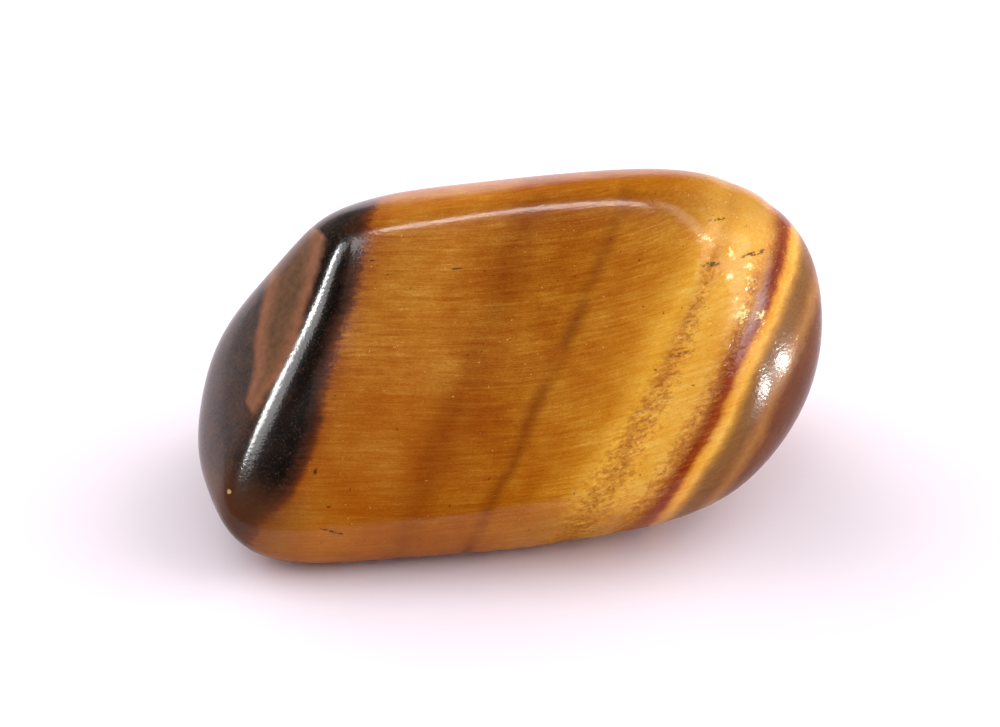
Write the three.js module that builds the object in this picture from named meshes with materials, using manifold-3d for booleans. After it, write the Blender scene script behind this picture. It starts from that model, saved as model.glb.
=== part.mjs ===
// A tumbled and polished tiger's eye stone, lying on a flat of its underside.
// Millimetres, +Z up. The stone's long axis runs along X, and its broad gold face looks
// to the front (-Y) and up. The origin is on the resting surface, under the middle.

import * as THREE from 'three';
import { mergeVertices } from 'three/addons/utils/BufferGeometryUtils.js';
import Module from 'manifold-3d';

// The inner centre that every facet distance is measured from.
const REST_DEPTH = 6.4;
const STONE_CENTRE = new THREE.Vector3(-0.78, 0.57, REST_DEPTH);

// Worn facets: azimuth and elevation of the outward normal in degrees, then the distance
// from the centre. Azimuth 0 faces the front (-Y), 90 the right (+X), 180 the back.
const CRISP_FACETS = {
  goldFace: [-14, 36, 4.9],
  topStrip: [-143, 81, 8.7],
  leftFace: [-77, 39, 9.8],
};
const ROUND_FACETS = {
  rightFront: [24, 37, 10.2],
  rightLower: [28, -9, 13.0],
  rightShoulder: [65, 59, 12.6],
  rightUnder: [50, -31, 15.0],
};
const PLAIN_FACETS = {
  frontBevel: [-8, -16, 8.7],
  frontUnder: [7, -52, 9.8],
  leftHeel: [-32, -54, 15.2],
  leftUnder: [-81, -39, 13.9],
  leftEnd: [-114, -11, 14.1],
  leftCheek: [-126, 21, 13.6],
  leftShoulder: [-146, 30, 10.0],
  backLeft: [-140, -5, 13.2],
  back: [176, 0, 7.4],
  backSlope: [176, 54, 8.5],
  backUnder: [172, -42, 7.8],
  backShoulder: [143, 46, 11.8],
  backRight: [125, -5, 14.0],
  rightBack: [104, 24, 16.6],
  rightEnd: [76, -10, 15.5],
  rightHeel: [70, -66, 9.5],
  underside: [0, -90, 6.55],
};

// How tightly the edges between facets are rounded: a higher power is a crisper edge.
const CRISP_POWER = 22;
const PLAIN_POWER = 12;
const ROUND_POWER = 9;

// The silky layers of the stone: sheets that cross it from end to end. ACROSS is the normal
// of the sheets and ALONG runs up a sheet, both as azimuth and elevation in degrees.
const ACROSS = facing(62.6, -17.6);
const ALONG = facing(131.5, 48.6);
const RIGHT_BEND = 0.0015;
const RIGHT_BEND_CENTRE = 5.2;
const LEFT_BEND = 0.0012;
const LEFT_BEND_CENTRE = -4.8;

// Relief. Sheet positions are distances across the layers from the centre. The crease is
// steep on the side of the ridge and slopes gently up to the face. It lies on the gold face,
// so it fades out below these shares of the face's own distance.
const CREASE = {
  sheet: -7.35, ridgeWidth: 0.32, faceWidth: 0.9, depth: 0.12, middle: -1.2, reach: 4.8,
};
const CREASE_FADE = { from: 0.9, to: 0.98 };
const LEFT_DISH = { azimuth: -86, elevation: 31, radius: 2.6, depth: 0.28 };
const BACK_DISH = { azimuth: 164, elevation: 14, radius: 3.6, depth: 0.4 };
const BACK_CHIP = { azimuth: -152, elevation: -16, radius: 1.7, depth: 0.35 };
const WORN_BANDS = [
  { sheet: 7.85, width: 0.7, depth: 0.13 },
  { sheet: 10.05, width: 0.45, depth: 0.08 },
];
const WORN_BREAKS = { mean: 0.65, swing: 0.35, wave: 1.9, slowWave: 1.0 };

// A slow unevenness: wave vectors in radians per millimetre, each with its phase.
const SWELL_HEIGHT = 0.022;
const SWELL_WAVES = [
  { wave: new THREE.Vector3(0.55, 0, 0.8), phase: 0.6 },
  { wave: new THREE.Vector3(-0.35, 0.9, 0), phase: 2.1 },
  { wave: new THREE.Vector3(0, 0.75, 0.7), phase: 4.0 },
];

// The start mesh is an ellipsoid near the stone's own proportions, so that the triangles
// come out nearly even all over the stone.
const START_RADII = new THREE.Vector3(15, 8.3, 7.7);
const START_DETAIL = 20;

const STONE_COLOUR = 0xb5701d;

function facing(azimuth, elevation) {
  const a = THREE.MathUtils.degToRad(azimuth);
  const e = THREE.MathUtils.degToRad(elevation);
  return new THREE.Vector3(
    Math.sin(a) * Math.cos(e), -Math.cos(a) * Math.cos(e), Math.sin(e));
}

function facetNormals(facets) {
  return Object.values(facets).map(([azimuth, elevation, distance]) =>
    facing(azimuth, elevation).divideScalar(distance));
}

// The sum of powers of a point's heights over a group of facets.
function powerSum(normals, power, point) {
  return normals.reduce((sum, n) => sum + Math.max(n.dot(point), 0) ** power, 0);
}

const crispNormals = facetNormals(CRISP_FACETS);
const goldFaceNormal = crispNormals[0];
const roundNormals = facetNormals(ROUND_FACETS);
const plainNormals = facetNormals(PLAIN_FACETS);

// Distance from the centre to the rounded facets along a unit direction.
function facetRadius(direction) {
  const crisp = powerSum(crispNormals, CRISP_POWER, direction) ** (PLAIN_POWER / CRISP_POWER);
  const round = powerSum(roundNormals, ROUND_POWER, direction) ** (PLAIN_POWER / ROUND_POWER);
  const plain = powerSum(plainNormals, PLAIN_POWER, direction);
  return (crisp + round + plain) ** (-1 / PLAIN_POWER);
}

function bell(distance, width) {
  return Math.exp(-((distance / width) ** 2));
}

// Distance across the bent layers.
function sheetOf(point) {
  const across = ACROSS.dot(point);
  const along = ALONG.dot(point);
  return across
    + RIGHT_BEND * Math.max(across, 0) * (along - RIGHT_BEND_CENTRE) ** 2
    + LEFT_BEND * Math.max(-across, 0) * (along - LEFT_BEND_CENTRE) ** 2;
}

// The groove that runs beside the left ridge, on the gold face only.
function creaseDepth(point) {
  const faceShare = goldFaceNormal.dot(point);
  const onFace = THREE.MathUtils.smoothstep(faceShare, CREASE_FADE.from, CREASE_FADE.to);
  const length = Math.exp(-(((ALONG.dot(point) - CREASE.middle) / CREASE.reach) ** 4));
  const across = sheetOf(point) - CREASE.sheet;
  const width = across < 0 ? CREASE.ridgeWidth : CREASE.faceWidth;
  return CREASE.depth * onFace * length * bell(across, width);
}

function dishDepth(point, dish) {
  const axis = facing(dish.azimuth, dish.elevation);
  const forward = axis.dot(point);
  if (forward <= 0) return 0;
  const offAxis = Math.sqrt(Math.max(point.lengthSq() - forward * forward, 0));
  return dish.depth * bell(offAxis, dish.radius);
}

// Two layers are softer and worn into shallow broken channels.
function wornDepth(point) {
  const along = ALONG.dot(point);
  const { mean, swing, wave, slowWave } = WORN_BREAKS;
  const broken = mean + swing * Math.sin(wave * along) * Math.sin(slowWave * (along + point.y));
  return WORN_BANDS.reduce((sum, band) =>
    sum + band.depth * broken * bell(sheetOf(point) - band.sheet, band.width), 0);
}

// Keeps every facet from being a true plane.
function swell(point) {
  return SWELL_HEIGHT * SWELL_WAVES.reduce((sum, { wave, phase }) =>
    sum + Math.sin(wave.dot(point) + phase), 0);
}

function stonePoint(direction) {
  const radius = facetRadius(direction);
  const point = direction.clone().multiplyScalar(radius);
  const relief = swell(point) - creaseDepth(point) - wornDepth(point)
    - dishDepth(point, LEFT_DISH) - dishDepth(point, BACK_DISH) - dishDepth(point, BACK_CHIP);
  return point.multiplyScalar(1 + relief / radius).add(STONE_CENTRE);
}

function roundedStone() {
  const start = new THREE.IcosahedronGeometry(1, START_DETAIL);
  start.deleteAttribute('normal');
  start.deleteAttribute('uv');
  const geometry = mergeVertices(start, 1e-5);
  const positions = geometry.getAttribute('position');
  const direction = new THREE.Vector3();
  for (let i = 0; i < positions.count; i += 1) {
    direction.fromBufferAttribute(positions, i).multiply(START_RADII).normalize();
    const point = stonePoint(direction);
    positions.setXYZ(i, point.x, point.y, point.z);
  }
  return geometry;
}

function slabBelowRest() {
  const size = 60;
  const geometry = new THREE.BoxGeometry(size, size, size);
  geometry.translate(0, 0, -size / 2);
  geometry.deleteAttribute('normal');
  geometry.deleteAttribute('uv');
  return mergeVertices(geometry, 1e-5);
}

const wasm = await Module();
wasm.setup();

function toSolid(geometry) {
  return new wasm.Manifold(new wasm.Mesh({
    numProp: 3,
    vertProperties: new Float32Array(geometry.getAttribute('position').array),
    triVerts: new Uint32Array(geometry.getIndex().array),
  }));
}

function toGeometry(solid) {
  const mesh = solid.getMesh();
  const geometry = new THREE.BufferGeometry();
  geometry.setAttribute('position', new THREE.BufferAttribute(mesh.vertProperties, 3));
  geometry.setIndex(new THREE.BufferAttribute(mesh.triVerts, 1));
  geometry.computeVertexNormals();
  return geometry;
}

// The lowest sliver is worn flat, which is what the stone rests on.
function makeStone() {
  const solid = toSolid(roundedStone()).subtract(toSolid(slabBelowRest()));
  const material = new THREE.MeshStandardMaterial({
    color: STONE_COLOUR, roughness: 0.22, metalness: 0,
  });
  const stone = new THREE.Mesh(toGeometry(solid), material);
  stone.name = 'stone';
  return stone;
}

const part = new THREE.Group();
part.name = 'tigers_eye_stone';
part.add(makeStone());

export default part;
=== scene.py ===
import math
from itertools import product
from types import SimpleNamespace

import bmesh
import bpy
import numpy as np
from mathutils import Matrix, Quaternion, Vector, noise


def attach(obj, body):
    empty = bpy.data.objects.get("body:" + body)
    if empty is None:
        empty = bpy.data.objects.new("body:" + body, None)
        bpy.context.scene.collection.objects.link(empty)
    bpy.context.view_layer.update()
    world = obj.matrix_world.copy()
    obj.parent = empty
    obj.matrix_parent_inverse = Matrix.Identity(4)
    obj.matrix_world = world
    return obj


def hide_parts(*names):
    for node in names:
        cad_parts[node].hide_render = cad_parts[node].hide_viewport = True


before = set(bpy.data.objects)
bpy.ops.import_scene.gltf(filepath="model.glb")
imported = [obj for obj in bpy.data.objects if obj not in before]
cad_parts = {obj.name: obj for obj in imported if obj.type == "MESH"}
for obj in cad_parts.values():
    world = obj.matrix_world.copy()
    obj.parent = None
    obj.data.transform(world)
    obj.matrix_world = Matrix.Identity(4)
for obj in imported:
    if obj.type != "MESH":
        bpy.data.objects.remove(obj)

# A tumbled and polished tiger's eye stone on a pale floor. Shapes are in millimetres here,
# in the part's own frame (+Z up), and become metres when the mesh is made.

MM = 0.001


def facing(azimuth, elevation):
    """Unit vector for an azimuth (0 is the front, 90 the right) and an elevation, in degrees."""
    a = math.radians(azimuth)
    e = math.radians(elevation)
    return np.array([math.sin(a) * math.cos(e), -math.cos(a) * math.cos(e), math.sin(e)])


# The stone's shape, as in the part's solid. Each facet has its outward normal's azimuth and
# elevation in degrees, and its distance from the centre.
STONE_CENTRE = np.array([-0.78, 0.57, 6.4])
CRISP_FACETS = [(-14, 36, 4.9), (-143, 81, 8.7), (-77, 39, 9.8)]
ROUND_FACETS = [(24, 37, 10.2), (28, -9, 13.0), (65, 59, 12.6), (50, -31, 15.0)]
PLAIN_FACETS = [
    (-8, -16, 8.7), (7, -52, 9.8), (-32, -54, 15.2), (-81, -39, 13.9), (-114, -11, 14.1),
    (-126, 21, 13.6), (-146, 30, 10.0), (-140, -5, 13.2), (176, 0, 7.4), (176, 54, 8.5),
    (172, -42, 7.8), (143, 46, 11.8), (125, -5, 14.0), (104, 24, 16.6), (76, -10, 15.5),
    (70, -66, 9.5), (0, -90, 6.55),
]

# How tightly the edges between facets are rounded: a higher power is a crisper edge.
CRISP_POWER = 22
PLAIN_POWER = 12
ROUND_POWER = 9

# The silky layers: the direction across the sheets, the direction up a sheet, and how the
# sheets bend at both ends.
ACROSS = facing(62.6, -17.6)
ALONG = facing(131.5, 48.6)
RIGHT_BEND = 0.0015
RIGHT_BEND_CENTRE = 5.2
LEFT_BEND = 0.0012
LEFT_BEND_CENTRE = -4.8

# The groove that runs beside the left ridge.
CREASE_SHEET = -7.35
CREASE_RIDGE_WIDTH = 0.32
CREASE_FACE_WIDTH = 0.9
CREASE_DEPTH = 0.12
CREASE_MIDDLE = -1.2
CREASE_REACH = 4.8
CREASE_FADE = (0.9, 0.98)

# Hollows: azimuth and elevation, radius and depth.
DISHES = [(-86, 31, 2.6, 0.28), (164, 14, 3.6, 0.4), (-152, -16, 1.7, 0.35)]

# Softer layers that are worn into channels: sheet position, width and depth. Waves break them,
# given in radians per millimetre.
WORN_BANDS = [(7.85, 0.7, 0.13), (10.05, 0.45, 0.08)]
BREAK_MEAN = 0.65
BREAK_SWING = 0.35
BREAK_WAVE = 1.9
BREAK_SLOW_WAVE = 1.0

# A slow unevenness: wave vectors in radians per millimetre, each with its phase.
SWELL_HEIGHT = 0.022
SWELL_WAVES = [((0.55, 0, 0.8), 0.6), ((-0.35, 0.9, 0), 2.1), ((0, 0.75, 0.7), 4.0)]

# The broad gold face, with the directions to its right, up it and out of it.
FACE_AZIMUTH = -14
FACE_ELEVATION = 36
FACE_RIGHT = facing(FACE_AZIMUTH + 90, 0)
FACE_UP = facing(FACE_AZIMUTH + 180, 90 - FACE_ELEVATION)
FACE_OUT = facing(FACE_AZIMUTH, FACE_ELEVATION)

# Its fibres lean a little, and to the right of a place they climb ever more steeply.
FIBRE_LEAN = 0.03
FIBRE_CLIMB = 0.0175
FIBRE_CLIMB_START = -1.0

# The mesh starts as a cube's grid drawn over an ellipsoid near the stone's own proportions:
# squares along each side of the cube, and the ellipsoid's radii.
MESH_STEPS = 80
START_RADII = np.array([15, 8.3, 7.7])

# Where the relief is fine, each square is cut: how often, the least share that counts as fine,
# how much of that share a full crease gives, and the depth at which a crack gives all of it.
FINE_CUTS = 3
FINE_REACH = 0.25
FINE_CREASE_SHARE = 0.5
FINE_CRACK_DEPTH = 0.03

# Fine relief that only this mesh carries. Each rough band has its sheet position, the width
# at its top, how much wider it gets for each millimetre downwards, and its strength. All bands
# widen from the same top over the same length, and they fade out above it.
PIT_BANDS = [(7.8, 0.26, 0.075, 1.0), (9.95, 0.22, 0.035, 0.9)]
PIT_BAND_TOP = 7.0
PIT_BAND_LENGTH = 14.0
PIT_BAND_END = (9.6, 7.4)

# The pits in them: depth, noise scales along and across the fibres, the slower lumps that
# gather them, the finer pits among them, the strength of the noise and the level it has to pass.
PIT_DEPTH = 0.08
PIT_SCALE_ALONG = 3.4
PIT_SCALE_ACROSS = 6.0
PIT_LUMP_SCALE = 0.3
PIT_FINE_SCALE = 2.2
PIT_FINE_SHARE = 0.6
PIT_STRENGTH = 0.9
PIT_LEVEL = 0.12

# Cracks on the gold face: place to the right and up, turn in degrees, half length, half width
# and depth. They wander in waves, given in radians per millimetre and by height.
CRACKS = [
    (8.5, 0.22, 13, 0.85, 0.10, 0.06),
    (-7.15, -7.8, -14, 0.6, 0.07, 0.03),
    (9.97, 4.3, 8, 0.55, 0.09, 0.03),
    (12.05, 4.83, 18, 0.8, 0.10, 0.03),
]
CRACK_WAVE = 7
CRACK_WAVE_HEIGHT = 0.04

# A light chip low on the left, by its place from the stone's centre.
CHIP_PLACE = np.array([-13.27, -4.12, -2.16])
CHIP_RADIUS = 0.13
CHIP_DEPTH = 0.04


def facet_normals(facets):
    return np.array([facing(a, e) / distance for a, e, distance in facets])


CRISP_NORMALS = facet_normals(CRISP_FACETS)
ROUND_NORMALS = facet_normals(ROUND_FACETS)
PLAIN_NORMALS = facet_normals(PLAIN_FACETS)


def power_sum(normals, power, points):
    return (np.maximum(points @ normals.T, 0) ** power).sum(axis=1)


def facet_radius(directions):
    crisp = power_sum(CRISP_NORMALS, CRISP_POWER, directions) ** (PLAIN_POWER / CRISP_POWER)
    rounded = power_sum(ROUND_NORMALS, ROUND_POWER, directions) ** (PLAIN_POWER / ROUND_POWER)
    plain = power_sum(PLAIN_NORMALS, PLAIN_POWER, directions)
    return (crisp + rounded + plain) ** (-1 / PLAIN_POWER)


def unit(vectors):
    return vectors / np.linalg.norm(vectors, axis=1)[:, None]


def bell(distance, width):
    return np.exp(-((distance / width) ** 2))


def smoothstep(value, low, high):
    t = np.clip((value - low) / (high - low), 0, 1)
    return t * t * (3 - 2 * t)


def sheet_of(points):
    """Distance across the stone's bent layers."""
    across = points @ ACROSS
    along = points @ ALONG
    right = RIGHT_BEND * np.maximum(across, 0) * (along - RIGHT_BEND_CENTRE) ** 2
    left = LEFT_BEND * np.maximum(-across, 0) * (along - LEFT_BEND_CENTRE) ** 2
    return across + right + left


def on_gold_face(points):
    return smoothstep(points @ CRISP_NORMALS[0], *CREASE_FADE)


def crease_window(points):
    return np.exp(-(((points @ ALONG - CREASE_MIDDLE) / CREASE_REACH) ** 4))


def crease_depth(points):
    across = sheet_of(points) - CREASE_SHEET
    width = np.where(across < 0, CREASE_RIDGE_WIDTH, CREASE_FACE_WIDTH)
    return CREASE_DEPTH * bell(across, width) * on_gold_face(points) * crease_window(points)


def dish_depth(points, dish):
    azimuth, elevation, radius, depth = dish
    forward = points @ facing(azimuth, elevation)
    off_axis = np.sqrt(np.maximum((points ** 2).sum(axis=1) - forward ** 2, 0))
    return np.where(forward > 0, depth * bell(off_axis, radius), 0)


def worn_depth(points):
    along = points @ ALONG
    slow = np.sin(BREAK_SLOW_WAVE * (along + points[:, 1]))
    broken = BREAK_MEAN + BREAK_SWING * np.sin(BREAK_WAVE * along) * slow
    sheet = sheet_of(points)
    return sum(depth * broken * bell(sheet - at, width) for at, width, depth in WORN_BANDS)


def swell(points):
    return SWELL_HEIGHT * sum(np.sin(points @ np.array(wave) + phase)
                              for wave, phase in SWELL_WAVES)


def face_place(points):
    return points @ FACE_RIGHT, points @ FACE_UP, points @ FACE_OUT


def fibre_height(right, up):
    """Height across the fibres of the gold face."""
    climbing = np.maximum(right - FIBRE_CLIMB_START, 0)
    return up - FIBRE_LEAN * right - FIBRE_CLIMB * climbing ** 2


def pit_band_share(points):
    """How rough the surface is. The bands widen downwards from their top."""
    sheet = sheet_of(points)
    along = points @ ALONG
    below_top = np.clip(PIT_BAND_TOP - along, 0, PIT_BAND_LENGTH)
    ended = smoothstep(-along, -PIT_BAND_END[0], -PIT_BAND_END[1])
    return ended * sum(share * bell(sheet - at, width + spread * below_top)
                       for at, width, spread, share in PIT_BANDS)


def pit_relief(points):
    """Crumbly pits, longer along the fibres, where the two worn bands are rough: 0 to 1."""
    share = pit_band_share(points)
    right, up, out = face_place(points)
    across_fibres = fibre_height(right, up)
    relief = np.zeros(len(points))
    for i in np.flatnonzero(share > FINE_REACH):
        spot = Vector((PIT_SCALE_ALONG * right[i], PIT_SCALE_ACROSS * across_fibres[i],
                       PIT_SCALE_ACROSS * out[i]))
        lump = 0.5 + 0.5 * noise.noise(PIT_LUMP_SCALE * spot)
        scoop = noise.noise(spot) + PIT_FINE_SHARE * noise.noise(PIT_FINE_SCALE * spot)
        relief[i] = share[i] * lump - PIT_LEVEL + PIT_STRENGTH * scoop * share[i]
    return np.clip(relief, 0, 1)


def crack_depth(points):
    right, up, out = face_place(points)
    total = np.zeros(len(points))
    for at_right, at_up, turn, half_length, half_width, depth in CRACKS:
        cos = math.cos(math.radians(turn))
        sin = math.sin(math.radians(turn))
        run = cos * (right - at_right) + sin * (up - at_up)
        side = cos * (up - at_up) - sin * (right - at_right)
        side += CRACK_WAVE_HEIGHT * np.sin(CRACK_WAVE * run)
        ends = np.exp(-((run / half_length) ** 4))
        total += depth * ends * bell(side, half_width) * (out > 0)
    return total


def chip_depth(points):
    return CHIP_DEPTH * bell(np.linalg.norm(points - CHIP_PLACE, axis=1), CHIP_RADIUS)


def stone_points(directions):
    """Surface points along unit directions from the stone's centre, and how pitted each is."""
    radius = facet_radius(directions)
    points = directions * radius[:, None]
    relief = swell(points) - crease_depth(points) - worn_depth(points)
    for dish in DISHES:
        relief = relief - dish_depth(points, dish)
    pits = pit_relief(points)
    relief = relief - PIT_DEPTH * pits - crack_depth(points) - chip_depth(points)
    points = points * (1 + relief / radius)[:, None]
    below = points[:, 2] < -STONE_CENTRE[2]
    points[below] *= (-STONE_CENTRE[2] / points[below, 2])[:, None]
    return points + STONE_CENTRE, pits


def cube_grid(steps):
    """Unit directions and faces of a sphere made from a cube's even grid."""
    index = {}
    faces = []
    cells = range(-steps, steps, 2)
    for axis, side, i, j in product(range(3), (-steps, steps), cells, cells):
        square = []
        for di, dj in ((0, 0), (2, 0), (2, 2), (0, 2)):
            key = [0, 0, 0]
            key[axis] = side
            key[(axis + 1) % 3] = i + di
            key[(axis + 2) % 3] = j + dj
            square.append(index.setdefault(tuple(key), len(index)))
        faces.append(square if side > 0 else square[::-1])
    even_angles = [[math.tan(k / steps * math.pi / 4) for k in key] for key in index]
    return unit(unit(np.array(even_angles)) * START_RADII), faces


def fine_share(directions):
    """How much each direction's surface needs the finer mesh."""
    points = directions * facet_radius(directions)[:, None]
    crease = FINE_CREASE_SHARE * crease_depth(points) / CREASE_DEPTH
    cracks = crack_depth(points) / FINE_CRACK_DEPTH
    return pit_band_share(points) + crease + cracks + chip_depth(points) / CHIP_DEPTH


def sphere_mesh():
    """The start sphere, with finer squares where the stone's relief is fine."""
    directions, faces = cube_grid(MESH_STEPS)
    mesh = bpy.data.meshes.new("tigers_eye_stone")
    mesh.from_pydata(directions.tolist(), [], faces)
    work = bmesh.new()
    work.from_mesh(mesh)
    fine = fine_share(directions) > FINE_REACH
    edges = [edge for edge in work.edges if all(fine[end.index] for end in edge.verts)]
    bmesh.ops.subdivide_edges(work, edges=edges, cuts=FINE_CUTS, use_grid_fill=True)
    many_sided = [face for face in work.faces if len(face.verts) > 4]
    bmesh.ops.triangulate(work, faces=many_sided)
    work.to_mesh(mesh)
    work.free()
    return mesh


def make_stone():
    mesh = sphere_mesh()
    directions = np.zeros(len(mesh.vertices) * 3)
    mesh.vertices.foreach_get("co", directions)
    points, pits = stone_points(unit(directions.reshape(-1, 3)))
    mesh.vertices.foreach_set("co", (points * MM).ravel())
    mesh.attributes.new("pits", "FLOAT", "POINT").data.foreach_set("value", pits)
    mesh.polygons.foreach_set("use_smooth", [True] * len(mesh.polygons))
    mesh.update()
    stone = bpy.data.objects.new("tigers_eye_stone", mesh)
    bpy.context.scene.collection.objects.link(stone)
    return stone


# The middle of a noise node's values, and how far they mostly are from it.
NOISE_MIDDLE = 0.5
NOISE_SPREAD = 0.25

# A mix node has sockets for every kind of value. These are the ones for colours.
MIX_FIRST = 6
MIX_SECOND = 7
MIX_RESULT = 2


class Graph:
    """Short calls for the nodes that a material or the world is made of."""

    def __init__(self, tree):
        self.tree = tree
        self.tree.nodes.clear()

    def node(self, kind, **settings):
        made = self.tree.nodes.new(kind)
        for name, value in settings.items():
            setattr(made, name, value)
        return made

    def feed(self, socket, value):
        if isinstance(value, bpy.types.NodeSocket):
            self.tree.links.new(value, socket)
        else:
            socket.default_value = value

    def math(self, operation, *values):
        made = self.node("ShaderNodeMath", operation=operation)
        for socket, value in zip(made.inputs, values):
            self.feed(socket, value)
        return made.outputs[0]

    def chain(self, operation, values):
        result = values[0]
        for value in values[1:]:
            result = self.math(operation, result, value)
        return result

    def total(self, *values):
        return self.chain("ADD", values)

    def product(self, *values):
        return self.chain("MULTIPLY", values)

    def largest(self, *values):
        return self.chain("MAXIMUM", values)

    def vector(self, operation, *values):
        made = self.node("ShaderNodeVectorMath", operation=operation)
        for socket, value in zip(made.inputs, values):
            self.feed(socket, value)
        return made.outputs[0]

    def dot(self, vector, direction):
        made = self.node("ShaderNodeVectorMath", operation="DOT_PRODUCT")
        self.feed(made.inputs[0], vector)
        self.feed(made.inputs[1], tuple(direction))
        return made.outputs["Value"]

    def combine(self, x, y, z):
        made = self.node("ShaderNodeCombineXYZ")
        for socket, value in zip(made.inputs, (x, y, z)):
            self.feed(socket, value)
        return made.outputs[0]

    def noise(self, vector, scale, detail=2.0, roughness=0.5):
        made = self.node("ShaderNodeTexNoise")
        self.feed(made.inputs["Vector"], vector)
        made.inputs["Scale"].default_value = scale
        made.inputs["Detail"].default_value = detail
        made.inputs["Roughness"].default_value = roughness
        return made.outputs["Fac"]

    def swing(self, vector, scale, size, detail=2.0):
        """Noise around zero, about as far each way as size."""
        centred = self.math("SUBTRACT", self.noise(vector, scale, detail), NOISE_MIDDLE)
        return self.math("MULTIPLY", centred, size / NOISE_SPREAD)

    def spots(self, vector, settings, edge):
        """Spots in noise. The edge has the noise at which a spot begins and is full."""
        return self.step(self.noise(vector, *settings), *edge)

    def step(self, value, low, high):
        """0 below low, 1 above high, smooth between; the other way round if low > high."""
        made = self.node("ShaderNodeMapRange", interpolation_type="SMOOTHSTEP")
        self.feed(made.inputs["Value"], value)
        flip = low > high
        made.inputs["From Min"].default_value = min(low, high)
        made.inputs["From Max"].default_value = max(low, high)
        made.inputs["To Min"].default_value = 1.0 if flip else 0.0
        made.inputs["To Max"].default_value = 0.0 if flip else 1.0
        return made.outputs["Result"]

    def bump_at(self, value, at, width):
        """1 at a value, falling to 0 at width on both sides."""
        away = self.math("ABSOLUTE", self.math("SUBTRACT", value, at))
        return self.step(away, width, 0.0)

    def ramp(self, value, low, high, stops):
        """Colours along a value from low to high, at the given stops."""
        span = self.node("ShaderNodeMapRange")
        self.feed(span.inputs["Value"], value)
        span.inputs["From Min"].default_value = low
        span.inputs["From Max"].default_value = high
        made = self.node("ShaderNodeValToRGB")
        self.feed(made.inputs[0], span.outputs["Result"])
        elements = made.color_ramp.elements
        while len(elements) > 1:
            elements.remove(elements[-1])
        for i, (at, colour) in enumerate(stops):
            place = (at - low) / (high - low)
            element = elements.new(place) if i else elements[0]
            element.position = place
            element.color = (*colour, 1.0)
        return made.outputs["Color"]

    def mix(self, factor, a, b):
        made = self.node("ShaderNodeMix", data_type="RGBA")
        self.feed(made.inputs[0], factor)
        self.feed(made.inputs[MIX_FIRST], (*a, 1.0) if isinstance(a, tuple) else a)
        self.feed(made.inputs[MIX_SECOND], (*b, 1.0) if isinstance(b, tuple) else b)
        return made.outputs[MIX_RESULT]

    def paint(self, colour, share, strength, tone):
        """The colour, with another one over a share of it."""
        return self.mix(self.math("MULTIPLY", share, strength), colour, tone)

    def gamma(self, colour, power):
        made = self.node("ShaderNodeGamma")
        self.feed(made.inputs["Color"], colour)
        self.feed(made.inputs["Gamma"], power)
        return made.outputs[0]


def rgb(r, g, b):
    """A colour given as screen values from 0 to 255, as linear values by the sRGB formula."""
    def linear(c):
        c = c / 255
        return c / 12.92 if c <= 0.04045 else ((c + 0.055) / 1.055) ** 2.4
    return (linear(r), linear(g), linear(b))


# The layers' colours by distance across them, from the dark left end to the right end. Part of
# this is painted light. The grey at the far left end is partly a painted reflection of the
# surroundings, and the near-black stop at the crease is painted shade in that groove. The light
# and dark gold zones are partly a painted chatoyant sheen that stays put when the light moves.
# The light amber of the right end is partly a painted milky sheen.
LAYER_SPAN = (-16.0, 16.0)
LAYERS = [
    # These two grey stops are partly a painted reflection of the surroundings.
    (-16.0, rgb(76, 67, 67)),
    (-11.2, rgb(64, 55, 54)),
    (-9.4, rgb(40, 32, 30)),
    (-8.7, rgb(18, 11, 9)),
    (-7.7, rgb(14, 8, 6)),
    # Painted shade in the crease beside the left ridge.
    (-7.38, rgb(4, 3, 2)),
    (-7.2, rgb(30, 16, 9)),
    (-6.9, rgb(58, 28, 13)),
    (-6.58, rgb(98, 46, 14)),
    (-6.32, rgb(152, 84, 18)),
    (-5.6, rgb(172, 106, 26)),
    (-3.0, rgb(176, 106, 24)),
    (-0.6, rgb(158, 88, 14)),
    (1.6, rgb(162, 92, 12)),
    (4.6, rgb(176, 104, 16)),
    (6.1, rgb(196, 126, 28)),
    (7.1, rgb(226, 162, 50)),
    (7.8, rgb(214, 150, 50)),
    (8.5, rgb(232, 170, 62)),
    (9.6, rgb(228, 166, 64)),
    (10.05, rgb(206, 138, 54)),
    (10.35, rgb(156, 86, 36)),
    (10.62, rgb(136, 52, 16)),
    (10.9, rgb(158, 70, 20)),
    (11.1, rgb(232, 158, 54)),
    (11.4, rgb(242, 178, 74)),
    (11.65, rgb(180, 122, 52)),
    (11.9, rgb(134, 90, 46)),
    (12.4, rgb(130, 82, 38)),
    # Partly a painted milky sheen on the right end.
    (12.9, rgb(164, 108, 52)),
    (13.4, rgb(104, 52, 18)),
    (16.0, rgb(82, 36, 8)),
]

# Zones have soft edges. Each edge has a measure of the place, the value where the zone begins
# and the value where it is full. This zone is where the layers are gold.
GOLD_ZONE = [("layer", -6.7, -6.2), ("layer", 11.9, 11.3)]

# Waves that shift the layers: noise scale and size. The layers also shift towards their top
# and around a middle place, which has its reach along them.
LAYER_WAVES = [(0.3, 0.12), (1.6, 0.04)]
LAYER_STREAK_WAVE = (2.2, 0.05)
LAYER_TOP = [("along", 6.5, 9.5)]
LAYER_TOP_SHIFT = -0.16
LAYER_MIDDLE = (4.0, 4.0)
LAYER_MIDDLE_SHIFT = 0.28

# The dark end reaches further onto the face low on the left, and its edge is ragged.
DARK_REACH_ZONE = [("along", -2.5, -7.5), ("along", -11.5, -8.5), ("sheet", -4.0, -6.0)]
DARK_REACH_SHIFT = -0.7
DARK_EDGE_SHEET = (-6.6, 1.0)
DARK_EDGE_WAVE = (6.0, 0.16)

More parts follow.
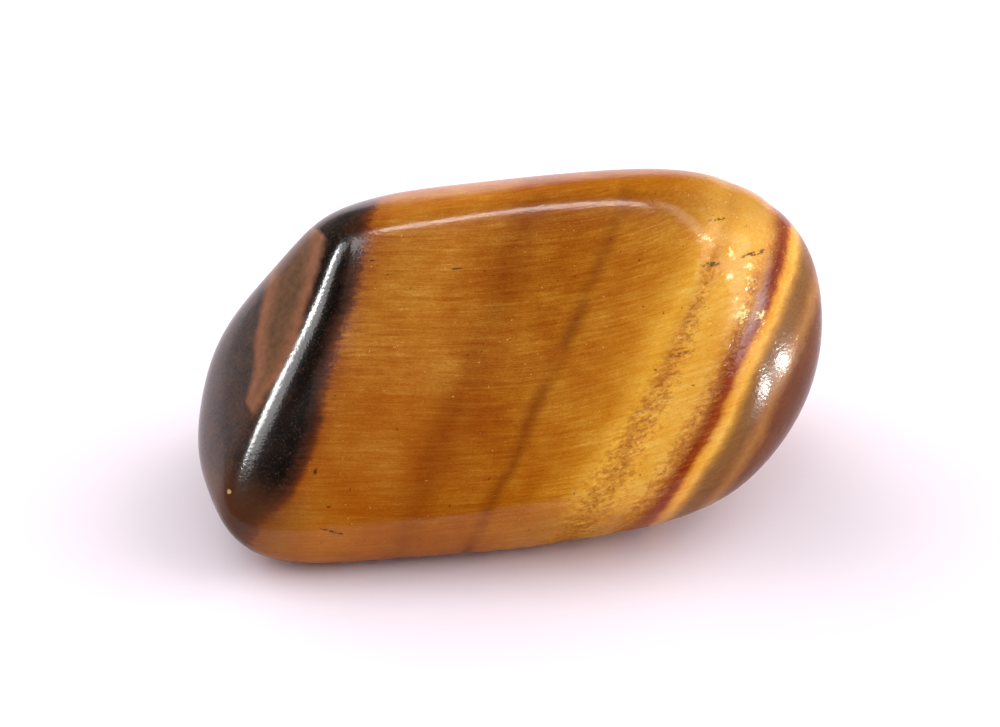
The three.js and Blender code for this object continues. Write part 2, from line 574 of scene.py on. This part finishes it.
# Noise is drawn out along the fibres where it is read at squeezed places, which keep this
# share of the distance to the right. The fibres' waves have a noise scale, a size and a detail.
SQUEEZE = {
    "long_streak": 0.045,
    "middle_streak": 0.14,
    "short_streak": 0.45,
    "crumb_place": 0.75,
}
FIBRE_WAVE = (0.12, 0.2, 0.0)
DEPTH_WAVE = (0.15, 0.15, 0.0)


def soft_zone(g, at, edges):
    """1 inside a zone and 0 outside, with soft edges."""
    return g.product(*[g.step(getattr(at, measure), start, full)
                       for measure, start, full in edges])


def sheet_graph(g, across, along):
    """Distance across the bent layers, as sheet_of finds it for the mesh."""
    right = g.math("POWER", g.math("SUBTRACT", along, RIGHT_BEND_CENTRE), 2.0)
    left = g.math("POWER", g.math("SUBTRACT", along, LEFT_BEND_CENTRE), 2.0)
    positive = g.math("MAXIMUM", across, 0.0)
    negative = g.math("MAXIMUM", g.math("MULTIPLY", across, -1.0), 0.0)
    return g.total(across, g.product(right, positive, RIGHT_BEND),
                   g.product(left, negative, LEFT_BEND))


def add_squeezed_places(g, at):
    climbing = g.math("MAXIMUM", g.math("SUBTRACT", at.right, FIBRE_CLIMB_START), 0.0)
    fibre = g.total(at.up, g.math("MULTIPLY", at.right, -FIBRE_LEAN),
                    g.math("MULTIPLY", g.math("POWER", climbing, 2.0), -FIBRE_CLIMB),
                    g.swing(at.place, *FIBRE_WAVE))
    depthways = g.total(at.out, g.swing(at.place, *DEPTH_WAVE))
    for name, share in SQUEEZE.items():
        setattr(at, name, g.combine(g.math("MULTIPLY", at.right, share), fibre, depthways))


def layer_graph(g, at):
    """The distance across the layers that chooses a colour: the sheet, shifted by waves."""
    shifts = [g.swing(at.place, *wave) for wave in LAYER_WAVES]
    shifts.append(g.swing(at.short_streak, *LAYER_STREAK_WAVE))
    shifts.append(g.math("MULTIPLY", soft_zone(g, at, LAYER_TOP), LAYER_TOP_SHIFT))
    shifts.append(g.math("MULTIPLY", g.bump_at(at.along, *LAYER_MIDDLE), LAYER_MIDDLE_SHIFT))
    shifts.append(g.math("MULTIPLY", soft_zone(g, at, DARK_REACH_ZONE), DARK_REACH_SHIFT))
    shifts.append(g.product(g.bump_at(at.sheet, *DARK_EDGE_SHEET),
                            g.swing(at.short_streak, *DARK_EDGE_WAVE)))
    return g.total(at.sheet, *shifts)


def measures(g):
    """Measures of a place in the stone, in millimetres from its centre, for all of the looks."""
    at = SimpleNamespace()
    where = g.node("ShaderNodeTexCoord").outputs["Object"]
    at.place = g.vector("MULTIPLY_ADD", where, (1 / MM,) * 3, tuple(-STONE_CENTRE))
    at.right = g.dot(at.place, FACE_RIGHT)
    at.up = g.dot(at.place, FACE_UP)
    at.out = g.dot(at.place, FACE_OUT)
    at.along = g.dot(at.place, ALONG)
    at.sheet = sheet_graph(g, g.dot(at.place, ACROSS), at.along)
    add_squeezed_places(g, at)
    at.layer = layer_graph(g, at)
    at.in_gold = soft_zone(g, at, GOLD_ZONE)
    at.crumbs = g.noise(at.crumb_place, *CRUMB_NOISE)
    at.pit_band = pit_band_graph(g, at, PIT_BAND_WIDEN)
    return at


# Fine and middle streaks, grit and slow clouds: place, noise scale, detail and roughness, and
# strength. They show more strongly in the gold than elsewhere.
STREAKS = [
    ("long_streak", (8.0, 2.0, 0.7), 0.8),
    ("middle_streak", (7.0, 2.0, 0.8), 0.5),
    ("long_streak", (2.6, 2.0, 0.5), 0.3),
    ("short_streak", (18.0, 1.0, 0.8), 0.7),
    ("place", (0.45, 3.0, 0.6), 0.9),
]
STREAK_CONTRAST = 0.35
STREAK_MORE_IN_GOLD = 0.45


def layer_colour(g, at):
    """The layers' colours, lighter and darker in streaks along the fibres."""
    waves = []
    for place, noise_settings, strength in STREAKS:
        share = g.noise(getattr(at, place), *noise_settings)
        waves.append(g.math("MULTIPLY_ADD", share, -strength, strength / 2))
    contrast = g.math("MULTIPLY_ADD", at.in_gold, STREAK_MORE_IN_GOLD, STREAK_CONTRAST)
    power = g.math("MULTIPLY_ADD", g.total(*waves), contrast, 1.0)
    return g.gamma(g.ramp(at.layer, *LAYER_SPAN, LAYERS), power)


# Tints of the gold face. At its top a painted shade darkens it, where the light from above falls
# on it. The left part of the bevel below it is lighter, partly a painted reflection of the
# floor. The right part of that bevel and the face's lower left are darker. Each tint has an edge
# up the face, an edge to the right, the strength before and after the second edge, and the
# colour.
FACE_TINTS = [
    ((5.2, 7.4), (4.0, 9.0), (0.16, 0.46), rgb(132, 72, 6)),
    ((-6.8, -8.2), (3.0, 0.0), (0, 0.25), rgb(214, 130, 20)),
    ((-6.2, -7.8), (0.0, 3.0), (0, 0.5), rgb(146, 78, 12)),
    ((0.5, -4.5), (3.0, -2.0), (0, 0.4), rgb(146, 68, 0)),
]


def tint_face(g, at, colour):
    for edge_up, edge_right, (before, after), tone in FACE_TINTS:
        strength = g.math("MULTIPLY_ADD", g.step(at.right, *edge_right), after - before, before)
        colour = g.mix(g.product(g.step(at.up, *edge_up), strength, at.in_gold), colour, tone)
    return colour


# Two darker cross bands of the gold face: sheet position, half width, size of the waves in
# their edges, strength, and the share of it that is left at the top of the face. They are
# patchy, by a noise scale and the noise where a patch begins and is full.
CROSS_BANDS = [(2.92, 0.6, 0.15, 0.65, 0.5), (-0.6, 1.3, 0.4, 0.3, 1.0)]
CROSS_BAND_WAVE_SCALE = 0.35
CROSS_BAND_TOP = (3.0, 6.5)
CROSS_BAND_PATCHES = ((0.7,), (0.2, 0.6))
CROSS_BAND_COLOUR = rgb(112, 48, 2)


def add_cross_bands(g, at, colour):
    patchy = g.spots(at.place, *CROSS_BAND_PATCHES)
    top = g.step(at.up, *CROSS_BAND_TOP)
    shares = []
    for place, half_width, wave, strength, left_at_top in CROSS_BANDS:
        sheet = g.total(at.sheet, g.swing(at.place, CROSS_BAND_WAVE_SCALE, wave))
        fade = g.math("MULTIPLY_ADD", top, left_at_top - 1, 1.0)
        shares.append(g.product(g.bump_at(sheet, place, half_width), patchy, fade, strength))
    return g.mix(g.total(*shares), colour, CROSS_BAND_COLOUR)


# Dark specks drawn out along the fibres, dark dots and light flecks: place, noise scale and
# detail, the noise where a speck begins and is full, strength and colour.
SPECKS = [
    ("short_streak", (3.2, 1.0), (0.79, 0.84), 0.8, rgb(70, 34, 10)),
    ("place", (5.0, 1.0), (0.75, 0.79), 0.7, rgb(84, 40, 12)),
    ("place", (6.5, 1.0), (0.76, 0.8), 0.5, rgb(236, 180, 110)),
]


def add_specks(g, at, colour):
    for place, noise_settings, edge, strength, tone in SPECKS:
        share = g.product(g.spots(getattr(at, place), noise_settings, edge), at.in_gold)
        colour = g.paint(colour, share, strength, tone)
    return colour


# The rough bands: how much wider than the pits of the mesh they are, their crumbly noise, and
# how much wider the loose crumbs beside them are spread.
PIT_BAND_WIDEN = 1.7
CRUMB_NOISE = (4.6, 2.0, 0.75)
LOOSE_WIDEN = 3.4

# The noise where the raised grains and the hollows begin and are full, and the same for the
# mesh's pits, each with the strength and colour painted there. The grains get a pale painted
# highlight, and the hollows and pits get brown painted shade.
GRAIN_EDGE = (0.56, 0.68)
GRAIN_HIGHLIGHT_PAINT = (0.5, rgb(252, 186, 70))
HOLLOW_EDGE = (0.49, 0.41)
LOOSE_HOLLOW_EDGE = (0.36, 0.3)
HOLLOW_SHADE_PAINT = (0.6, rgb(158, 82, 4))
PIT_EDGE = (0.1, 0.7)
PIT_SHADE_PAINT = (0.4, rgb(168, 90, 4))


def pit_band_graph(g, at, widen):
    """The rough bands again, for the material, wider than in the mesh by a factor."""
    below_top = g.math("MAXIMUM", g.math("MULTIPLY_ADD", at.along, -1.0, PIT_BAND_TOP), 0.0)
    shares = []
    for place, width, spread, strength in PIT_BANDS:
        half = g.math("MULTIPLY_ADD", below_top, widen * spread, widen * width)
        away = g.math("ABSOLUTE", g.math("SUBTRACT", at.sheet, place))
        inside = g.step(g.math("DIVIDE", away, half), 1.0, 0.0)
        shares.append(g.math("MULTIPLY", inside, strength))
    return g.product(g.largest(*shares), g.step(at.along, *PIT_BAND_END))


def add_rough_bands(g, at, colour):
    """Brown painted shade where they are pitted and hollow, and a pale painted highlight on the
    raised grains between.
    """
    loose_band = pit_band_graph(g, at, LOOSE_WIDEN)
    hollow_shade = g.largest(g.product(g.step(at.crumbs, *HOLLOW_EDGE), at.pit_band),
                        g.product(g.step(at.crumbs, *LOOSE_HOLLOW_EDGE), loose_band))
    pits = g.node("ShaderNodeAttribute", attribute_name="pits").outputs["Fac"]
    grain_highlights = g.product(g.step(at.crumbs, *GRAIN_EDGE), at.pit_band)
    colour = g.paint(colour, grain_highlights, *GRAIN_HIGHLIGHT_PAINT)
    colour = g.paint(colour, hollow_shade, *HOLLOW_SHADE_PAINT)
    return g.paint(colour, g.step(pits, *PIT_EDGE), *PIT_SHADE_PAINT)


# The dark end, with brown grains and clouds in it: noise scale, detail and roughness, and the
# noise where they begin and are full.
DARK_END = [("layer", -6.7, -7.2)]
BROWN_GRAINS = ((5.5, 3.0, 0.7), (0.5, 0.75))
BROWN_CLOUDS = ((1.1, 3.0, 0.5), (0.4, 0.7))
BROWN_CLOUD_SHARE = 0.5
BROWN_COLOUR = rgb(104, 66, 40)
SHARP_GRAINS = ((7.5, 3.0, 0.8), (0.56, 0.7))
SHARP_GRAIN_PAINT = (0.28, rgb(124, 84, 56))

# The brown is stronger in the outermost layers and on the upper part of the end.
OUTER_LAYERS = [("layer", -8.8, -9.8)]
UPPER_PART = [("along", 1.0, 4.0)]
BROWN_STRENGTH = 0.12
BROWN_MORE = 0.32

# The soft edge where gold fades out, low on the left.
FADED_ZONE = [("along", -8.2, -10.6), ("layer", -3.8, -6.6)]
FADED_PAINT = (0.55, rgb(98, 58, 36))


def add_dark_end(g, at, colour):
    dark = soft_zone(g, at, DARK_END)
    clouds = g.math("MULTIPLY", g.spots(at.place, *BROWN_CLOUDS), BROWN_CLOUD_SHARE)
    brown = g.total(g.spots(at.place, *BROWN_GRAINS), clouds)
    more = g.largest(soft_zone(g, at, OUTER_LAYERS), soft_zone(g, at, UPPER_PART))
    strength = g.math("MULTIPLY_ADD", more, BROWN_MORE, BROWN_STRENGTH)
    colour = g.mix(g.product(dark, brown, strength), colour, BROWN_COLOUR)
    sharp_grains = g.product(dark, g.spots(at.place, *SHARP_GRAINS))
    colour = g.paint(colour, sharp_grains, *SHARP_GRAIN_PAINT)
    return g.paint(colour, soft_zone(g, at, FADED_ZONE), *FADED_PAINT)


# The brown inlay on the left end: its two rims by distance across the layers, at distances
# along them, and the ranges that these distances lie in.
INLAY_SPAN = (-7.0, 5.0)
INLAY_LEFT = [(-7.0, -8.6), (-6.3, -8.9), (-5.9, -9.5), (-4.6, -10.0), (-2.8, -10.5),
              (-0.5, -10.9), (2.0, -11.4), (5.0, -12.0)]
INLAY_RIGHT = [(-7.0, -8.95), (-6.2, -8.75), (-5.75, -8.62), (-3.0, -8.5), (0.2, -8.42),
               (2.3, -8.5), (3.0, -9.6), (3.8, -12.4)]
INLAY_RANGE = (-14.0, -6.0)

# The waves in its rims, how far inside the rim it begins and is full, its lower end, and how
# far inside the rim its core begins and is full. Rim and core are mottled with two colours.
INLAY_WAVES = [(0.4, 0.25), (2.5, 0.08)]
INLAY_EDGE = (-0.22, 0.3)
INLAY_END = (-6.8, -6.0)
INLAY_CORE_EDGE = (0.2, 0.95)
INLAY_MOTTLE = (2.6, 3.0, 0.7)
INLAY_RIM_COLOURS = (rgb(104, 62, 40), rgb(150, 98, 68))
INLAY_CORE_COLOURS = (rgb(58, 38, 22), rgb(118, 80, 52))


def curve_of(g, value, table):
    """A number read from a table of (value, number), drawn as a grey ramp."""
    low, high = INLAY_RANGE
    stops = []
    for at, number in table:
        grey = (number - low) / (high - low)
        stops.append((at, (grey, grey, grey)))
    shade = g.ramp(value, *INLAY_SPAN, stops)
    return g.math("MULTIPLY_ADD", shade, high - low, low)


def add_inlay(g, at, colour):
    """The colour with the inlay in it, and the share of each place that is inlay."""
    sheet = g.total(at.sheet, *[g.swing(at.place, *wave) for wave in INLAY_WAVES])
    from_left = g.math("SUBTRACT", sheet, curve_of(g, at.along, INLAY_LEFT))
    from_right = g.math("SUBTRACT", curve_of(g, at.along, INLAY_RIGHT), sheet)
    inside = g.math("MINIMUM", from_left, from_right)
    share = g.product(g.step(inside, *INLAY_EDGE), g.step(at.along, *INLAY_END))
    mottle = g.noise(at.place, *INLAY_MOTTLE)
    rim = g.mix(mottle, *INLAY_RIM_COLOURS)
    core = g.mix(mottle, *INLAY_CORE_COLOURS)
    filling = g.mix(g.step(inside, *INLAY_CORE_EDGE), rim, core)
    return g.mix(share, colour, filling), share


# Painted glints: bright patches painted where the gold face turns to the right end, in place of
# the highlights on its rough grains. Each has its place to the right and up, half length, half
# height and strength.
PAINTED_GLINTS = [
    (10.95, 4.8, 0.35, 0.5, 0.9),
    (10.85, 3.8, 0.5, 0.45, 0.75),
    (11.8, 4.25, 0.55, 0.35, 0.8),
    (11.8, 3.65, 0.5, 0.45, 0.5),
    (12.3, 1.85, 0.5, 0.9, 0.65),
    (11.35, 2.1, 0.6, 1.3, 0.75),
    (9.7, 5.5, 0.9, 0.5, 0.4),
]

# Where the painted glints can be, the noise that breaks their outlines and how much it counts,
# the value where a painted glint begins and is full, and the colour.
PAINTED_GLINT_ZONE = [("out", 0.0, 1.0), ("right", 8.0, 9.0), ("up", 0.4, 1.0)]
PAINTED_GLINT_NOISE = (4.5, 3.0, 0.8)
PAINTED_GLINT_NOISE_SIZE = 3.0
PAINTED_GLINT_EDGE = (0.35, 0.95)
PAINTED_GLINT_COLOUR = rgb(255, 232, 150)


def painted_glint_share(g, at):
    ragged = g.math("MULTIPLY_ADD", g.noise(at.crumb_place, *PAINTED_GLINT_NOISE),
                    PAINTED_GLINT_NOISE_SIZE, -PAINTED_GLINT_NOISE_SIZE / 2)
    shares = []
    for at_right, at_up, half_length, half_height, strength in PAINTED_GLINTS:
        shares.append(g.product(g.bump_at(at.right, at_right, half_length),
                                g.bump_at(at.up, at_up, half_height), strength))
    painted_glints = g.step(g.total(g.largest(*shares), ragged), *PAINTED_GLINT_EDGE)
    return g.product(painted_glints, soft_zone(g, at, PAINTED_GLINT_ZONE))


# Dark marks on the gold face: place to the right and up, turn in degrees, half length and half
# width.
MARKS = [
    (9.97, 4.31, 8, 0.7, 0.17),
    (12.05, 4.84, 18, 1.0, 0.17),
    (10.4, 6.4, 10, 0.8, 0.08),
    (-7.91, -5.06, 60, 0.27, 0.13),
    (-5.34, 4.48, 0, 0.2, 0.07),
    (-4.6, 3.84, 0, 0.5, 0.04),
    (-1.6, 4.1, 3, 0.55, 0.07),
    (-7.15, -7.8, -14, 0.9, 0.09),
]

# The brown mark along the deepest crack.
BREAK_MARK = (8.5, 0.22, 13, 1.1, 0.16)

# The strength and colour of the brown mark and of the dark ones, where on the stone marks are,
# the values where a mark begins and is full, and the noise that breaks it.
MARK_PAINTS = [
    ([BREAK_MARK], 0.7, rgb(126, 66, 6)),
    (MARKS, 0.8, rgb(44, 28, 20)),
]
MARK_ZONE = [("out", 2.0, 2.6)]
MARK_EDGE = (0.1, 0.5)
MARK_BREAKS = ((5.0, 2.0, 0.8), (0.44, 0.54))


def mark_share(g, at, mark):
    at_right, at_up, turn, half_length, half_width = mark
    cos = math.cos(math.radians(turn))
    sin = math.sin(math.radians(turn))
    right = g.math("SUBTRACT", at.right, at_right)
    up = g.math("SUBTRACT", at.up, at_up)
    run = g.total(g.math("MULTIPLY", right, cos), g.math("MULTIPLY", up, sin))
    side = g.total(g.math("MULTIPLY", up, cos), g.math("MULTIPLY", right, -sin))
    return g.product(g.bump_at(run, 0.0, half_length), g.bump_at(side, 0.0, half_width))


def add_marks(g, at, colour):
    on_face = soft_zone(g, at, MARK_ZONE)
    broken = g.spots(at.crumb_place, *MARK_BREAKS)
    for marks, strength, tone in MARK_PAINTS:
        share = g.largest(*[mark_share(g, at, mark) for mark in marks])
        share = g.product(g.step(share, *MARK_EDGE), broken, on_face)
        colour = g.paint(colour, share, strength, tone)
    return colour


# The light chip: the waves in its outline, the squared distance from its middle where it
# begins and is full, its strength and its colour.
CHIP_WAVE = (7.0, 0.008)
CHIP_EDGE = (0.022, 0.004)
CHIP_PAINT = (0.8, rgb(206, 164, 116))


def add_chip(g, at, colour):
    away = g.vector("SUBTRACT", at.place, tuple(CHIP_PLACE))
    squared = g.dot(g.vector("MULTIPLY", away, away), (1, 1, 1))
    share = g.step(g.total(squared, g.swing(at.place, *CHIP_WAVE)), *CHIP_EDGE)
    return g.paint(colour, share, *CHIP_PAINT)


# The polish. The stone below it is satiny, and rougher in the rough bands and the inlay.
STONE_ROUGHNESS = 0.26
BAND_ROUGHNESS = 0.18
INLAY_ROUGHNESS = 0.08
STONE_SPECULAR = 0.06
COAT_ROUGHNESS = 0.12

# The weight of the coat. It is full on the painted glints and on a veil over one layer, and it
# loses some of its weight in the outer layers of the right end, the rough bands and the top
# strip.
COAT_WEIGHT = 0.32
COAT_MORE = 0.68
VEIL_LAYER = (10.5, 0.55)
VEIL_ZONE = [("along", -1.0, 4.0), ("along", 8.6, 7.0)]
END_LAYERS = [("layer", 11.2, 12.2)]
END_COAT_LOSS = 0.19
BAND_COAT_LOSS = 0.85
TOP_STRIP_ZONE = [("up", 6.9, 7.9), ("out", -1.0, 0.5)]
TOP_STRIP_COAT_LOSS = 0.6


def coat_weight(g, at, painted_glints):
    veil = g.product(g.bump_at(at.layer, *VEIL_LAYER), soft_zone(g, at, VEIL_ZONE))
    weight = g.math("MULTIPLY_ADD", g.largest(veil, painted_glints), COAT_MORE, COAT_WEIGHT)
    end_loss = g.math("MULTIPLY", soft_zone(g, at, END_LAYERS), END_COAT_LOSS)
    top_strip = g.product(soft_zone(g, at, TOP_STRIP_ZONE), at.in_gold)
    return g.product(g.math("SUBTRACT", weight, end_loss),
                     g.math("MULTIPLY_ADD", at.pit_band, -BAND_COAT_LOSS, 1.0),
                     g.math("MULTIPLY_ADD", top_strip, -TOP_STRIP_COAT_LOSS, 1.0))


# Polishing grain, shallow fibre grooves and crumbs, with heights in millimetres. The grain is
# stronger in the outer layers of the right end, and the grooves where the face turns to it.
GRAIN_NOISE = (8.0, 1.0)
GRAIN_HEIGHT = 0.0045
GRAIN_MORE_ZONE = [("layer", 11.0, 11.8)]
GRAIN_MORE = 0.3
GROOVE_NOISE = (5.0, 2.0)
GROOVE_HEIGHT = 0.003
GROOVE_MORE_ZONE = [("right", 6.5, 9.5), ("up", -3.0, 1.0), ("out", -1.0, 1.5)]
GROOVE_MORE_HEIGHT = 0.006
CRUMB_HEIGHT = 0.05


def fine_height(g, at):
    grain_share = g.math("MULTIPLY_ADD", soft_zone(g, at, GRAIN_MORE_ZONE), GRAIN_MORE, 1.0)
    groove = g.math("MULTIPLY_ADD", soft_zone(g, at, GROOVE_MORE_ZONE),
                    GROOVE_MORE_HEIGHT, GROOVE_HEIGHT)
    return g.total(g.product(g.noise(at.place, *GRAIN_NOISE), grain_share, GRAIN_HEIGHT),
                   g.product(g.noise(at.middle_streak, *GROOVE_NOISE), groove),
                   g.product(at.crumbs, at.pit_band, CRUMB_HEIGHT))


def bumped_normal(g, height):
    bump = g.node("ShaderNodeBump")
    bump.inputs["Strength"].default_value = 1.0
    bump.inputs["Distance"].default_value = MM
    g.feed(bump.inputs["Height"], height)
    return bump.outputs[0]


def stone_material():
    material = bpy.data.materials.new("tigers_eye")
    material.use_nodes = True
    g = Graph(material.node_tree)
    at = measures(g)

    colour = tint_face(g, at, layer_colour(g, at))
    colour = add_cross_bands(g, at, colour)
    colour = add_specks(g, at, colour)
    colour = add_rough_bands(g, at, colour)
    colour = add_dark_end(g, at, colour)
    colour, inlay = add_inlay(g, at, colour)
    # Painted glints: near-white patches in place of highlights where the face turns to the right
    # end.
    painted_glints = painted_glint_share(g, at)
    colour = g.mix(painted_glints, colour, PAINTED_GLINT_COLOUR)
    colour = add_marks(g, at, colour)
    colour = add_chip(g, at, colour)

    shader = g.node("ShaderNodeBsdfPrincipled")
    g.feed(shader.inputs["Base Color"], colour)
    roughness = g.math("MULTIPLY_ADD", at.pit_band, BAND_ROUGHNESS, STONE_ROUGHNESS)
    roughness = g.math("MULTIPLY_ADD", inlay, INLAY_ROUGHNESS, roughness)
    g.feed(shader.inputs["Roughness"], roughness)
    shader.inputs["Specular IOR Level"].default_value = STONE_SPECULAR
    g.feed(shader.inputs["Coat Weight"], coat_weight(g, at, painted_glints))
    shader.inputs["Coat Roughness"].default_value = COAT_ROUGHNESS
    normal = bumped_normal(g, fine_height(g, at))
    g.feed(shader.inputs["Normal"], normal)
    g.feed(shader.inputs["Coat Normal"], normal)
    output = g.node("ShaderNodeOutputMaterial")
    g.feed(output.inputs["Surface"], shader.outputs[0])
    return material


# The camera looks straight at the gold face, which is the photograph's viewing angle. It aims
# this far to the right of the stone's centre and above it, in the picture.
VIEW_DISTANCE = 130.5
VIEW_AIM = (0.43, -0.18)
VIEW_LENS = 100
VIEW_SENSOR = 36
VIEW_NEAR_CLIP = 0.005


def make_camera():
    back = FACE_OUT
    right = FACE_RIGHT
    up = np.cross(back, right)
    aim = STONE_CENTRE + VIEW_AIM[0] * right + VIEW_AIM[1] * up
    place = (aim + VIEW_DISTANCE * back) * MM
    data = bpy.data.cameras.new("camera")
    data.lens = VIEW_LENS
    data.sensor_width = VIEW_SENSOR
    data.clip_start = VIEW_NEAR_CLIP
    camera = bpy.data.objects.new("camera", data)
    camera.matrix_world = Matrix((
        (right[0], up[0], back[0], place[0]),
        (right[1], up[1], back[1], place[1]),
        (right[2], up[2], back[2], place[2]),
        (0, 0, 0, 1),
    ))
    bpy.context.scene.collection.objects.link(camera)
    bpy.context.scene.camera = camera


# The floor, half its width in metres and its matt colour.
FLOOR_HALF = 1.5
FLOOR_COLOUR = (0.99, 0.885, 0.965, 1)


def make_floor():
    half = FLOOR_HALF
    corners = [(-half, -half, 0), (half, -half, 0), (half, half, 0), (-half, half, 0)]
    mesh = bpy.data.meshes.new("floor")
    mesh.from_pydata(corners, [], [(0, 1, 2, 3)])
    floor = bpy.data.objects.new("floor", mesh)
    bpy.context.scene.collection.objects.link(floor)
    material = bpy.data.materials.new("floor")
    material.use_nodes = True
    g = Graph(material.node_tree)
    shader = g.node("ShaderNodeBsdfDiffuse")
    shader.inputs["Color"].default_value = FLOOR_COLOUR
    output = g.node("ShaderNodeOutputMaterial")
    g.feed(output.inputs["Surface"], shader.outputs[0])
    mesh.materials.append(material)


# Lamps that show in the polish: azimuth, elevation, width, height, turn, brightness. Angles
# are in degrees as seen from the stone.
GLINTS = {
    "lamp_left": (-60, 41, 9, 16, 0, 92.0),
    "lamp_left_sheen": (-46, 42, 17, 20, 0, 12.0),
    "lamp_top_left": (-14, 61, 30, 8, 0, 26.0),
    "lamp_right": (66, 5.5, 18, 5, -45, 180.0),
    "lamp_right_front": (48, 10.0, 18, 5, -45, 180.0),
    "lamp_turn": (38, 52, 12, 26, 24, 6.0),
    "lamp_turn_wide": (52, 37, 62, 13, 0, 5.5),
}

# Lamps that give the stone its light, from the upper left and from the front.
KEYS = {
    "key": (-62, 50, 20, 20, 0, 8.0),
    "fill": (-5, 45, 60, 50, 0, 0.2),
}
LAMP_DISTANCE = 400


def lamp_size(angle):
    """The width in metres that a lamp needs to span an angle as seen from the stone."""
    return 2 * LAMP_DISTANCE * MM * math.tan(math.radians(angle / 2))


def add_lamp(name, settings):
    azimuth, elevation, width, height, turn, brightness = settings
    data = bpy.data.lights.new(name, "AREA")
    data.shape = "ELLIPSE"
    data.size = lamp_size(width)
    data.size_y = lamp_size(height)
    area = math.pi / 4 * data.size * data.size_y
    data.energy = brightness * math.pi * area
    lamp = bpy.data.objects.new(name, data)
    toward = Vector(facing(azimuth, elevation))
    lamp.location = Vector(STONE_CENTRE * MM) + toward * LAMP_DISTANCE * MM
    upright = toward.to_track_quat("Z", "Y")
    lamp.rotation_euler = (upright @ Quaternion((0, 0, 1), math.radians(turn))).to_euler()
    bpy.context.scene.collection.objects.link(lamp)
    return lamp


def make_lamps(stone):
    """The lamps light the stone alone, so that its shadow on the floor stays soft."""
    receivers = bpy.data.collections.new("lit_by_lamps")
    receivers.objects.link(stone)
    for name, settings in GLINTS.items():
        lamp = add_lamp(name, settings)
        lamp.light_linking.receiver_collection = receivers
        lamp.visible_diffuse = False
    for name, settings in KEYS.items():
        lamp = add_lamp(name, settings)
        lamp.light_linking.receiver_collection = receivers
        lamp.visible_glossy = False


# Diffuse light comes from above and from two wide bright sides, which keep the shadow short.
# In the polish the same surroundings are dimmer, and dark on the side that the face looks to.
DOME_LOW = 0.15
DOME_ABOVE = 1.1
DOME_ABOVE_POWER = 3.0
DOME_SIDES = [(facing(95, 14), 4.6), (facing(222, 14), 4.0)]
DOME_SIDE_EDGE = 0.55
MIRRORED_SHARE = 0.09
MIRRORED_DARK = (0.92, 0.15)


def make_world():
    world = bpy.data.worlds.new("studio")
    world.use_nodes = True
    bpy.context.scene.world = world
    g = Graph(world.node_tree)
    toward = g.node("ShaderNodeTexCoord").outputs["Generated"]
    height = g.math("MAXIMUM", g.dot(toward, (0, 0, 1)), 0.0)
    above = g.math("POWER", height, DOME_ABOVE_POWER)
    dome = g.math("MULTIPLY_ADD", above, DOME_ABOVE, DOME_LOW)
    for direction, brightness in DOME_SIDES:
        side = g.step(g.dot(toward, direction), DOME_SIDE_EDGE, 1.0)
        dome = g.total(dome, g.math("MULTIPLY", side, brightness))
    unshaded = g.step(g.dot(toward, FACE_OUT), *MIRRORED_DARK)
    path = g.node("ShaderNodeLightPath")
    lit = g.product(dome, path.outputs["Is Diffuse Ray"])
    mirrored = g.product(dome, unshaded, path.outputs["Is Glossy Ray"], MIRRORED_SHARE)
    strength = g.total(path.outputs["Is Camera Ray"], lit, mirrored)
    background = g.node("ShaderNodeBackground")
    g.feed(background.inputs["Strength"], strength)
    output = g.node("ShaderNodeOutputWorld")
    g.feed(output.inputs["Surface"], background.outputs[0])


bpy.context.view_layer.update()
make_camera()
make_floor()
make_world()
bpy.context.scene.view_settings.view_transform = "Standard"

stone = make_stone()
stone.data.materials.append(stone_material())
make_lamps(stone)
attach(stone, "root")
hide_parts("stone")
